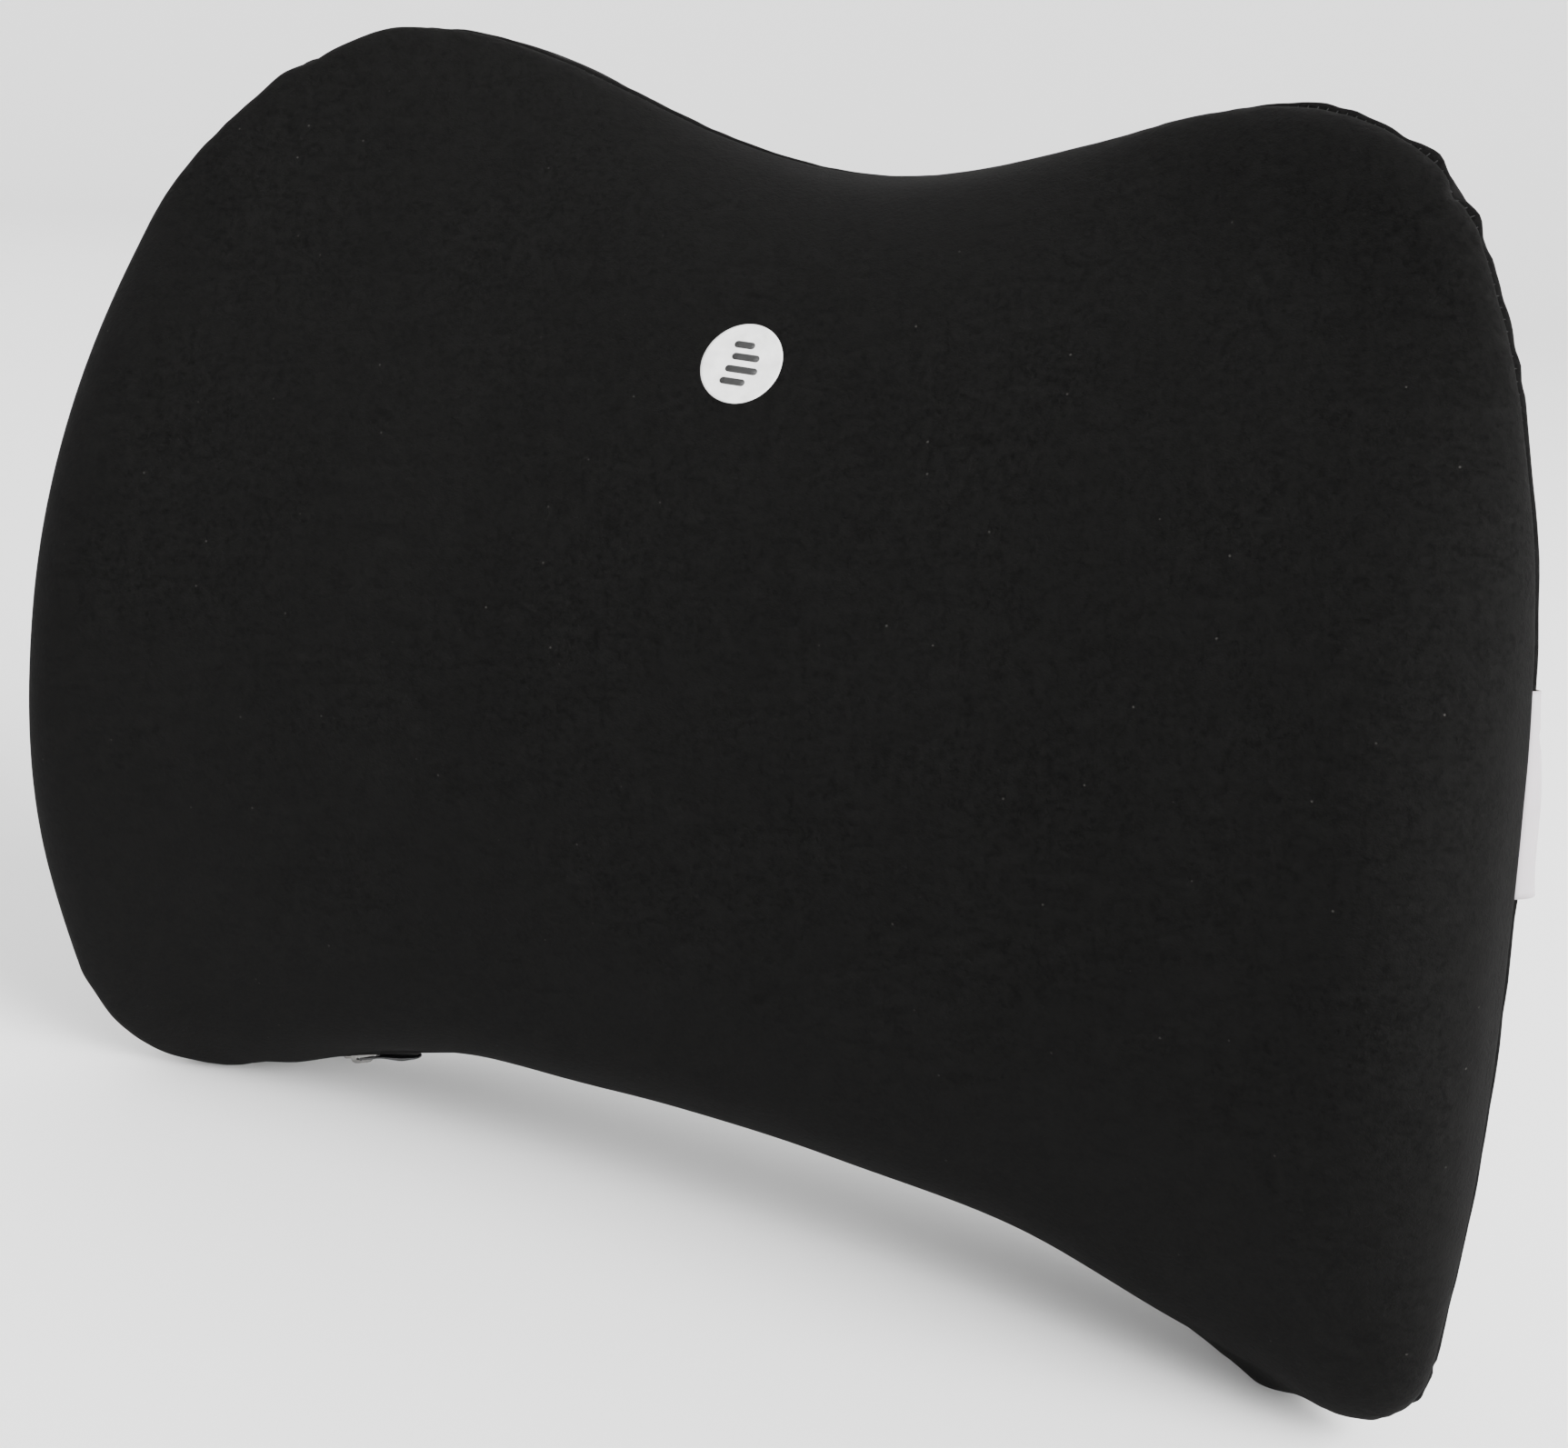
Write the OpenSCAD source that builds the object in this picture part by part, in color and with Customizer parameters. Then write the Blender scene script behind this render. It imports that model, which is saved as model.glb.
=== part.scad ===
// Butterfly-shaped lumbar support cushion: moulded foam core in a two-panel liner,
// inside a two-panel knit cover that opens by a zip along its lower waist.
// +X is the cushion's right as it faces -Y, +Z is up, and the flat of the back lies on y = 0.

/* [Outline] */
// Centre of the upper lobe's arc, across and up
top_lobe = [105, 93]; // [80:1:120]
// Radius of the upper lobe
top_lobe_r = 70; // [60:1:75]
// Centre of the lower lobe's arc, across and up
low_lobe = [155, -92]; // [-110:1:160]
// Radius of the lower lobe
low_lobe_r = 32; // [26:1:40]
// Radius of the long arc down each side
side_r = 615; // [450:5:800]
// Height of the dip in the top edge
top_waist_z = 137; // [125:1:145]
// Height of the arch in the bottom edge
low_waist_z = -104; // [-110:1:-95]

/* [Depth] */
// Depth from the seam to the front at the middle of the cushion
crown_depth = 78; // [60:1:90]
// Height at which the front stands furthest out
crown_z = 12; // [0:1:30]
// Fall of the front above the crown, per square millimetre
crown_fall_top = 0.00335; // [0.002:0.00005:0.004]
// Fall of the front below the crown, per square millimetre
crown_fall_low = 0.00225; // [0.0015:0.00005:0.003]
// Thinning of the front towards the wings, per square millimetre
wing_thinning = 0.00125; // [0.0008:0.00005:0.0015]
// Least depth from the seam to the front, which the thinning eases into
rim_depth = 10; // [8:0.5:14]
// How far the seam lies in front of the flat of the back at the middle
seam_y = 20; // [18:0.5:24]
// How fast the seam comes forward towards the wings, per square millimetre
seam_wrap = 0.00175; // [0.0012:0.00005:0.002]
// How fast the seam goes back towards the top and bottom, per square millimetre
seam_lean = 0.00037; // [0:0.00001:0.0004]
// Half width of the flat of the back
back_flat = 75; // [50:1:90]
// How fast the back comes forward outside the flat, per square millimetre
back_wrap = 0.0055; // [0.004:0.0001:0.006]

/* [Layers] */
// Thickness of the knit cover
cover_t = 1.6; // [1:0.1:2]
// Depth of the liner's outer face below the cover's outer face
liner_in = 4.4; // [4.2:0.1:5]
// Thickness of the liner
liner_t = 0.7; // [0.5:0.1:1]
// Clearance between the liner and the foam
foam_gap = 0.3; // [0.2:0.1:0.5]

/* [Zip] */
// Radius of the arc that the zip follows
zip_r = 279; // [270:1:290]
// Tilt of the plane that the arc lies in
zip_tilt = 27.8; // [25:0.1:30]
// Half of the angle that the zip covers
zip_half_angle = 27; // [20:0.5:27]
// How far in front of the seam the zip is set
zip_forward = 2; // [1:0.5:3]
// Half width of the slot in the cover
slot_half = 4.2; // [4:0.1:5]
// Width of each tape
tape_w = 5.5; // [5:0.5:6]
// Radius of each row of coil
coil_r = 0.8; // [0.6:0.05:0.9]
// Length of the slider's body
slider_l = 9; // [8:0.5:10]
// Half width of the slider's body
slider_half = 3.4; // [3:0.1:3.6]
// Length of the pull tab from its pivot
pull_l = 17; // [14:0.5:20]

/* [Label and badge] */
// Height of the care label along the seam
label_h = 42; // [35:1:60]
// Length of the care label's flap
label_w = 25; // [20:1:30]
// Height of the care label's lower edge
label_z = 12; // [-20:1:20]
// Radius of the printed badge
badge_r = 10; // [8:0.5:12]
// Height of the badge's centre
badge_z = 95; // [80:1:105]

/* [Hidden] */

// An outline is [upper lobe, its radius, lower lobe, its radius, side radius, top waist, low waist]
edge = [top_lobe, top_lobe_r, low_lobe, low_lobe_r, side_r, top_waist_z, low_waist_z];
// The plateau is where the rolled border ends and the crown begins
roll_top = 34;
roll_low = 30;
plateau = [top_lobe - roll_top * [0.15, 0.10], top_lobe_r - 0.8 * roll_top,
           low_lobe + roll_low * [-0.62, 0.42], low_lobe_r - 0.45 * roll_low,
           side_r - roll_top, top_waist_z - roll_top, low_waist_z + roll_low];
function inset(o, t) = [o[0], o[1] - t, o[2], o[3] - t, o[4] - t, o[5] - t, o[6] + t];

// Points along each arc: top waist, upper lobe, side, lower lobe, low waist
arc_steps = [5, 8, 5, 6, 6];
function sum_sq(v) = v * v;
function bearing(v) = atan2(v[1], v[0]);
function arc(c, r, a, b, n) = [for (i = [0:n - 1]) c + r * [cos(a + (b - a) * i / n), sin(a + (b - a) * i / n)]];
// Radius of the waist arc that is centred over the middle and touches a lobe
function waist_r(lobe, r, rise) = (sum_sq([lobe[0], rise]) - r * r) / (2 * (r - rise));
// Centre of the side arc, which touches both lobes from outside
function side_centre(a, ra, b, rb, r) =
    let (d = b - a, l = norm(d), e = d / l,
         along = (sum_sq([r - ra]) - sum_sq([r - rb]) + l * l) / (2 * l),
         off = sqrt(sum_sq([r - ra]) - along * along))
    a + along * e - off * [-e[1], e[0]];
function half_outline(o) =
    let (a = o[0], ra = o[1], b = o[2], rb = o[3], rs = o[4],
         rt = waist_r(a, ra, o[5] - a[1]), rl = waist_r(b, rb, b[1] - o[6]),
         ct = [0, o[5] + rt], cl = [0, o[6] - rl], cs = side_centre(a, ra, b, rb, rs), n = arc_steps)
    concat(arc(ct, rt, 270, 360 + bearing(a - ct), n[0]),
           arc(a, ra, bearing(ct - a), bearing(a - cs), n[1]),
           arc(cs, rs, bearing(a - cs), bearing(b - cs), n[2]),
           arc(b, rb, bearing(b - cs), bearing(cl - b), n[3]),
           arc(cl, rl, bearing(b - cl), 90, n[4]),
           [[0, o[6]]]);
function outline(o) =
    let (h = half_outline(o), m = len(h))
    concat(h, [for (i = [m - 2:-1:1]) [-h[i][0], h[i][1]]]);

// Distance in front of y = 0 of the seam and the back, and depth from the seam to the front
rim_ease = 16;
function seam_f(p) = seam_y + seam_wrap * p[0] * p[0] - seam_lean * p[1] * p[1];
function crown_f(p) =
    let (u = p[1] - crown_z, fall = u > 0 ? crown_fall_top : crown_fall_low,
         over = crown_depth - fall * u * u - wing_thinning * p[0] * p[0] - rim_depth)
    rim_depth + (over + norm([over, rim_ease])) / 2;
function back_f(p) = back_wrap * pow(max(0, abs(p[0]) - back_flat), 2);

// Rolled border: a superellipse from the seam (angle 0) to the plateau (angle 90)
front_power = 2.6;
back_power = 3;
front_angles = [0, 14, 34, 53, 71, 90];
back_angles = [0, 14, 34, 60, 90];
crown_steps = [0.25, 0.5, 0.75];
function mix(a, b, k) = [for (i = [0:len(a) - 1]) a[i] * (1 - k) + b[i] * k];
function front_at(p, g, t) = [p[0], -(seam_f(p) + (crown_f(p) - t) * g), p[1]];
function back_at(p, g, t) = [p[0], -(seam_f(p) - (seam_f(p) - back_f(p) - t) * g), p[1]];
// Rings from the seam to the middle, at depth t below the cover's outer face
function front_rings(t) =
    let (e = outline(inset(edge, t)), c = outline(plateau))
    concat([for (a = front_angles) let (q = mix(e, c, 1 - pow(cos(a), 2 / front_power)))
                [for (p = q) front_at(p, pow(sin(a), 2 / front_power), t)]],
           [for (k = crown_steps) [for (p = c) front_at(p * (1 - k), 1, t)]]);
function back_rings(t) =
    let (e = outline(inset(edge, t)), c = outline(plateau))
    concat([for (a = back_angles) let (q = mix(e, c, 1 - pow(cos(a), 2 / back_power)))
                [for (p = q) back_at(p, pow(sin(a), 2 / back_power), t)]],
           [for (k = crown_steps) [for (p = c) back_at(p * (1 - k), 1, t)]]);
function reversed(v) = [for (i = [len(v) - 1:-1:0]) v[i]];
middle = [0, 0];

// Closed skin over rings that run out to the seam and then, from ring number turn, back in.
// Both parts split their squares along the same diagonal, so that stacked layers stay parallel.
module skin(first, out_rings, in_rings, last) {
    rings = concat(out_rings, in_rings);
    turn = len(out_rings) - 1;
    n = len(rings[0]);
    m = len(rings);
    points = concat([first], [for (r = rings) each r], [last]);
    end = len(points) - 1;
    polyhedron(points, concat(
        [for (i = [0:n - 1]) [0, 1 + i, 1 + (i + 1) % n]],
        [for (j = [0:m - 2], i = [0:n - 1]) let (a = 1 + j * n + i, b = 1 + j * n + (i + 1) % n) each
            j < turn ? [[a, a + n, b], [b, a + n, b + n]] : [[a, a + n, b + n], [a, b + n, b]]],
        [for (i = [0:n - 1]) let (a = 1 + (m - 1) * n + i, b = 1 + (m - 1) * n + (i + 1) % n) [a, end, b]]));
}

// One panel of cloth between depths t0 and t1 on the front or the back
module front_panel(t0, t1) {
    skin(front_at(middle, 1, t0), reversed(front_rings(t0)), front_rings(t1), front_at(middle, 1, t1));
}
module back_panel(t0, t1) {
    skin(back_at(middle, 1, t1), reversed(back_rings(t1)), back_rings(t0), back_at(middle, 1, t0));
}

module foam_core() {
    t = liner_in + liner_t + foam_gap;
    back = back_rings(t);
    color("lemonchiffon")
    skin(front_at(middle, 1, t), reversed(front_rings(t)), [for (i = [1:len(back) - 1]) back[i]],
         back_at(middle, 1, t));
}
module liner_front() {
    color("whitesmoke") front_panel(liner_in, liner_in + liner_t);
}
module liner_back() {
    color("whitesmoke") back_panel(liner_in, liner_in + liner_t);
}
module cover_front() {
    color([0.11, 0.11, 0.11])
    difference() {
        front_panel(0, cover_t);
        zip_slot();
    }
}
module cover_back() {
    color([0.13, 0.13, 0.13])
    difference() {
        back_panel(0, cover_t);
        zip_slot();
    }
}

// The zip lies on one plane arc. In its section the first axis runs forward over the cover
// and the second axis runs outward, with 0 at the cover's outer face.
zip_middle = [0, -(seam_f([0, low_waist_z]) + zip_forward), low_waist_z];
zip_centre = zip_middle - zip_r * [0, cos(zip_tilt), sin(zip_tilt)];
module zip_frame() {
    translate(zip_centre) rotate([zip_tilt, 0, 0]) children();
}
module zip_sweep(half_angle) {
    zip_frame() rotate([0, 0, 90 - half_angle]) rotate_extrude(angle = 2 * half_angle, $fn = 360)
        translate([zip_r, 0]) rotate(180 - zip_tilt) children();
}
// Puts children at an angle along the arc: X along the zip, Y forward, Z outward
module on_zip(angle) {
    zip_frame() rotate([0, 0, angle]) translate([0, zip_r, 0]) rotate([180 - zip_tilt, 0, 0]) children();
}

module zip_slot() {
    zip_sweep(zip_half_angle) translate([-slot_half, -3 * cover_t]) square([2 * slot_half, 6 * cover_t]);
}

tape_top = -2.5;
tape_t = 0.4;
coil_gap = 0.8;
coil_u = coil_gap / 2 + coil_r;
coil_v = tape_top + 0.05 + coil_r;
slider_angle = 25.2;
stop_angle = 26.3;
module tape(side) {
    zip_sweep(zip_half_angle + 0.8) translate([side > 0 ? coil_gap / 2 : -coil_gap / 2 - tape_w, tape_top - tape_t])
        square([tape_w, tape_t]);
}
module coil(side) {
    zip_sweep(stop_angle - 0.2) translate([side * coil_u, coil_v]) circle(r = coil_r, $fn = 24);
}
module zip_tape_front() {
    color([0.08, 0.08, 0.08]) tape(1);
}
module zip_tape_rear() {
    color([0.08, 0.08, 0.08]) tape(-1);
}
module zip_coil_front() {
    color([0.05, 0.05, 0.05]) coil(1);
}
module zip_coil_rear() {
    color([0.05, 0.05, 0.05]) coil(-1);
}

// A folded metal clip across both rows
stop_l = 1.6;
module stop() {
    translate([-stop_l / 2, -2.1, tape_top + 0.05]) cube([stop_l, 4.2, 2.1]);
}
module zip_end_stop() {
    color("dimgray") on_zip(stop_angle + 0.1) stop();
}
module zip_start_stop() {
    color("dimgray") on_zip(-stop_angle - 0.1) stop();
}

plate_t = 0.8;
plate_z = 0.5;
bridge_l = 6.4;
bridge_h = 2.5;
bridge_w = 1.6;
pivot_z = plate_z + plate_t + 0.9;
// Body outline seen from outside: wide at the end that faces the stop, narrower at the other
module body_outline() {
    polygon([[-slider_l / 2, -0.82 * slider_half], [-slider_l / 2 + 1, -slider_half], [0, -slider_half],
             [slider_l / 2, -0.72 * slider_half], [slider_l / 2, 0.72 * slider_half], [0, slider_half],
             [-slider_l / 2 + 1, slider_half], [-slider_l / 2, 0.82 * slider_half]]);
}
module zip_slider() {
    color("silver") on_zip(slider_angle) {
        translate([0, 0, plate_z]) linear_extrude(plate_t) body_outline();
        translate([0, 0, tape_top - 1.3]) linear_extrude(0.5) body_outline();
        // Side flanges that keep the rows together
        for (s = [-1, 1]) translate([-slider_l / 2 + 1, s * (slider_half - 0.35) - 0.35, tape_top + 0.6])
            cube([slider_l / 2 - 1, 0.7, plate_z - tape_top - 0.6]);
        // Wedge between the rows
        translate([-slider_l / 2 + 0.6, -0.15, tape_top - 0.8]) cube([1.6, 0.3, plate_z - tape_top + 0.8]);
        // Bridge that holds the pull tab
        difference() {
            translate([-bridge_l / 2, -bridge_w / 2, plate_z + plate_t]) cube([bridge_l, bridge_w, bridge_h]);
            translate([-bridge_l / 2 + 1.1, -bridge_w, plate_z + plate_t]) cube([bridge_l - 2.2, 2 * bridge_w, 1.8]);
        }
    }
}
module zip_pull() {
    arm_in = bridge_w / 2 + 0.4;
    arm_w = 1.1;
    bar_r = 0.5;
    half = arm_in + arm_w;
    color("black") on_zip(slider_angle) translate([0, 0, pivot_z]) {
        rotate([90, 0, 0]) cylinder(r = bar_r, h = 2 * half, center = true, $fn = 24);
        for (s = [-1, 1]) translate([0, s * (arm_in + arm_w / 2) - arm_w / 2, -bar_r]) cube([5, arm_w, 2 * bar_r]);
        translate([4.4, -half, -bar_r]) cube([pull_l - 4.4 - half, 2 * half, 2 * bar_r]);
        translate([pull_l - half, 0, -bar_r]) cylinder(r = half, h = 2 * bar_r, $fn = 48);
    }
}

// Two-layer woven label, sewn into the side seam and pointing back
label_t = 0.6;
label_lean = 8;
label_out = 1.2;
module care_label() {
    side_c = side_centre(top_lobe, top_lobe_r, low_lobe, low_lobe_r, side_r);
    ends = [for (z = [label_z, label_z + label_h])
            let (x = side_c[0] + sqrt(side_r * side_r - pow(z - side_c[1], 2))) [x, -seam_f([x, z]), z]];
    run = ends[1] - ends[0];
    color("white") translate((ends[0] + ends[1]) / 2 + [label_out, 0, 0])
        rotate([-asin(run[1] / norm(run)), atan2(run[0], run[2]), 0]) rotate([0, 0, 90 + label_lean])
        translate([0, -label_t / 2, -label_h / 2]) cube([label_w, label_t, label_h]);
}

// Thin printed disc, tangent to the front
module badge_print() {
    at = front_at([0, badge_z], 1, 0);
    fall = front_at([0, badge_z + 1], 1, 0)[1] - at[1];
    color("white") translate(at) rotate([90 - atan(fall), 0, 0]) translate([0, 0, 0.1])
        cylinder(r = badge_r, h = 0.4, $fn = 96);
}

foam_core();
liner_front();
liner_back();
cover_front();
cover_back();
zip_tape_front();
zip_tape_rear();
zip_coil_front();
zip_coil_rear();
zip_end_stop();
zip_start_stop();
zip_slider();
zip_pull();
care_label();
badge_print();
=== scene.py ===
"""Butterfly lumbar cushion: black velour cover over a moulded foam core, zipped along its lower edge."""
import math

import bmesh
import bpy
import numpy as np
from mathutils import Matrix, Vector
from mathutils.bvhtree import BVHTree


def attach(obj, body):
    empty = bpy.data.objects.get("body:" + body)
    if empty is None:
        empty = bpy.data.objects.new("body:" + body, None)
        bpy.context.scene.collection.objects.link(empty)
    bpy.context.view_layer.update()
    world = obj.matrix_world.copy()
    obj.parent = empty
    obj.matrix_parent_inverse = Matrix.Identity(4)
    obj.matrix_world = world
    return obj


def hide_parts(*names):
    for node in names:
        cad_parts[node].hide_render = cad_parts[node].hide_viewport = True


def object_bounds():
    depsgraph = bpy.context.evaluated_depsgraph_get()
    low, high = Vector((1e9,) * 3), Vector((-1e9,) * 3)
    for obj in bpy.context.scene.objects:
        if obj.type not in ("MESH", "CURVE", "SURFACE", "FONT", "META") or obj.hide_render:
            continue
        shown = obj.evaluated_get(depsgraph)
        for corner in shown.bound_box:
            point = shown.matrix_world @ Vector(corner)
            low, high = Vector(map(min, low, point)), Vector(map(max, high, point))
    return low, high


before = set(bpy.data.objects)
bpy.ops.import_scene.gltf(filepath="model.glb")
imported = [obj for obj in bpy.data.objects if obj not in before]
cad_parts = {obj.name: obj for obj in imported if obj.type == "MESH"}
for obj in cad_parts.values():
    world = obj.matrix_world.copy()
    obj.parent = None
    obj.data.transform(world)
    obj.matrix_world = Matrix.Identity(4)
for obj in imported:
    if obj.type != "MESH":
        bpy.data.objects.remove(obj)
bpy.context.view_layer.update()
MM = 0.001

# ---------------------------------------------------------------- the cushion's shape, as in the CAD (mm)
# Across is x and up is z. The outline is five arcs a side: waist, upper lobe, side, lower lobe, waist.
TOP_LOBE, TOP_LOBE_R = np.array([105.0, 93.0]), 70.0
LOW_LOBE, LOW_LOBE_R = np.array([155.0, -92.0]), 32.0
SIDE_R, TOP_WAIST_Z, LOW_WAIST_Z = 615.0, 137.0, -104.0
EDGE = (TOP_LOBE, TOP_LOBE_R, LOW_LOBE, LOW_LOBE_R, SIDE_R, TOP_WAIST_Z, LOW_WAIST_Z)
ROLL_TOP, ROLL_LOW = 34.0, 30.0
PLATEAU = (TOP_LOBE - ROLL_TOP * np.array([0.15, 0.10]), TOP_LOBE_R - 0.8 * ROLL_TOP,
           LOW_LOBE + ROLL_LOW * np.array([-0.62, 0.42]), LOW_LOBE_R - 0.45 * ROLL_LOW,
           SIDE_R - ROLL_TOP, TOP_WAIST_Z - ROLL_TOP, LOW_WAIST_Z + ROLL_LOW)
CROWN_DEPTH, CROWN_Z = 78.0, 12.0
CROWN_FALL_TOP, CROWN_FALL_LOW, WING_THINNING = 0.00335, 0.00225, 0.00125
RIM_DEPTH, RIM_EASE = 10.0, 16.0
SEAM_Y, SEAM_WRAP, SEAM_LEAN = 20.0, 0.00175, 0.00037
BACK_FLAT, BACK_WRAP = 75.0, 0.0055
POWER = {"front": 2.6, "back": 3.0}


def inset(o, t):
    """The arcs of an outline that lies t inside the one given."""
    return (o[0], o[1] - t, o[2], o[3] - t, o[4] - t, o[5] - t, o[6] + t)


def bearing(v):
    return math.atan2(v[1], v[0])


def arc(c, r, a, b, n):
    """n points on the circle of centre c and radius r, from angle a up to but not at angle b."""
    t = a + (b - a) * np.arange(n) / n
    return np.stack([c[0] + r * np.cos(t), c[1] + r * np.sin(t)], 1)


def waist_r(lobe, r, rise):
    """Radius of a hollow waist that touches a lobe and, at x = 0, lies rise away from its centre's level."""
    return (lobe[0] ** 2 + rise ** 2 - r * r) / (2 * (r - rise))


def side_centre(a, ra, b, rb, r):
    """Centre of the side's arc of radius r, which both lobes of one side touch from within."""
    d = b - a
    length = np.linalg.norm(d)
    e = d / length
    along = ((r - ra) ** 2 - (r - rb) ** 2 + length ** 2) / (2 * length)
    off = math.sqrt((r - ra) ** 2 - along ** 2)
    return a + along * e - off * np.array([-e[1], e[0]])


def outline(o, steps):
    """The closed outline, from the middle of the top, first down the +X side and then up the -X side."""
    a, ra, b, rb, rs, wt, wl = o
    rt, rl = waist_r(a, ra, wt - a[1]), waist_r(b, rb, b[1] - wl)
    ct, cl, cs = np.array([0, wt + rt]), np.array([0, wl - rl]), side_centre(a, ra, b, rb, rs)
    turn = 2 * math.pi
    half = np.vstack([
        arc(ct, rt, 0.75 * turn, turn + bearing(a - ct), steps[0]),
        arc(a, ra, bearing(ct - a), bearing(a - cs), steps[1]),
        arc(cs, rs, bearing(a - cs), bearing(b - cs), steps[2]),
        arc(b, rb, bearing(b - cs), bearing(cl - b), steps[3]),
        arc(cl, rl, bearing(b - cl), 0.25 * turn, steps[4]),
        [[0, wl]]])
    return np.vstack([half, (half[1:-1] * [-1, 1])[::-1]])


def seam_f(p):
    """Distance of the seam's level in front of the back's plane."""
    return SEAM_Y + SEAM_WRAP * p[..., 0] ** 2 - SEAM_LEAN * p[..., 1] ** 2


def crown_f(p):
    """Height of the front face over the seam's level."""
    u = p[..., 1] - CROWN_Z
    fall = np.where(u > 0, CROWN_FALL_TOP, CROWN_FALL_LOW)
    over = CROWN_DEPTH - fall * u * u - WING_THINNING * p[..., 0] ** 2 - RIM_DEPTH
    return RIM_DEPTH + (over + np.hypot(over, RIM_EASE)) / 2


def back_f(p):
    """How far the hollow back lies in front of its flat middle."""
    return BACK_WRAP * np.maximum(0, np.abs(p[..., 0]) - BACK_FLAT) ** 2


def panel_depth(side, p, t):
    """Depth of one panel, measured from the seam's level, at depth t below the cover's outer face."""
    return crown_f(p) - t if side == "front" else seam_f(p) - back_f(p) - t


def panel_at(side, p, g, t):
    """Points of a panel over outline places p, where g runs from 0 at the seam to 1 at full depth."""
    sign = -1 if side == "front" else 1
    return np.stack([p[..., 0], -seam_f(p) + sign * panel_depth(side, p, t) * g, p[..., 1]], -1)


class Grid:
    """One panel as rings from the seam to the middle. w: 0 at the seam, 1 at the plateau, 2 in the middle."""

    def __init__(self, side, t, steps, near, roll, crown):
        """near gives the depths in mm of the first rings by the seam; roll and crown count the others."""
        edge, plateau = outline(inset(EDGE, t), steps), outline(PLATEAU, steps)
        power = POWER[side]
        depth = panel_depth(side, edge, t)
        angles = [np.arcsin(np.minimum(d / depth, 1) ** (power / 2)) for d in near] or [np.zeros(len(edge))]
        last = angles[-1]
        angles += [last + (math.pi / 2 - last) * k for k in np.arange(1, roll + 1) / roll]
        rows, w = [], []
        for a in angles:
            k = (1 - np.maximum(np.cos(a), 0) ** (2 / power))[:, None]
            rows.append(panel_at(side, edge * (1 - k) + plateau * k, np.sin(a) ** (2 / power), t))
            w.append(a / (math.pi / 2))
        for k in np.arange(1, crown + 1) / (crown + 1):
            rows.append(panel_at(side, plateau * (1 - k), 1.0, t))
            w.append(np.full(len(edge), 1 + k))
        self.side, self.points, self.w = side, np.array(rows), np.array(w)
        self.middle = panel_at(side, np.zeros(2), 1.0, t)
        self.count = len(edge)

    def verts(self):
        return np.vstack([self.points.reshape(-1, 3), self.middle[None]])

    def faces(self, start=0, shared=None):
        """Outward quads. shared numbers the seam's points where another panel already has them."""
        i = np.arange(self.count)
        j = (i + 1) % self.count
        faces = []
        row = [start + r * self.count + i for r in range(len(self.points))]
        if shared is not None:
            row = [np.asarray(shared)] + row[:-1]
        for a, b in zip(row, row[1:]):
            faces += list(zip(a[i], a[j], b[j], b[i]))
        end = row[-1][-1] + 1
        faces += list(zip(row[-1][i], row[-1][j], [end] * self.count))
        return [f[::-1] for f in faces] if self.side == "front" else faces


# ---------------------------------------------------------------- mesh and node helpers
def ring_quads(rings, count, flipped=False):
    """Quads between closed rings of count points each, which are numbered ring after ring."""
    faces = []
    for k in range(rings - 1):
        for i in range(count):
            a, b = k * count + i, k * count + (i + 1) % count
            c, d = b + count, a + count
            faces.append((a, d, c, b) if flipped else (a, b, c, d))
    return faces


def mesh_object(name, verts, faces, material, body="cushion"):
    """A smooth-shaded object in metres, riding a body of the frame unless body is None."""
    mesh = bpy.data.meshes.new(name)
    verts = [tuple(v) for v in np.asarray(verts, float)]
    mesh.from_pydata(verts, [], [tuple(int(i) for i in f) for f in faces])
    mesh.validate()
    mesh.polygons.foreach_set("use_smooth", [True] * len(mesh.polygons))
    if material is not None:
        mesh.materials.append(material)
    obj = bpy.data.objects.new(name, mesh)
    bpy.context.scene.collection.objects.link(obj)
    if body is not None:
        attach(obj, body)
    return obj


def vertex_normals(verts, faces):
    """Area-weighted normals of a mesh of quads and triangles given as arrays."""
    normals = np.zeros_like(verts)
    for size in (3, 4):
        f = np.array([q for q in faces if len(q) == size], int)
        if len(f):
            cross = np.cross(verts[f[:, 2]] - verts[f[:, 0]], verts[f[:, size - 1]] - verts[f[:, 1]])
            for k in range(size):
                np.add.at(normals, f[:, k], cross)
    return normals / np.maximum(np.linalg.norm(normals, axis=1, keepdims=True), 1e-12)


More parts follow.
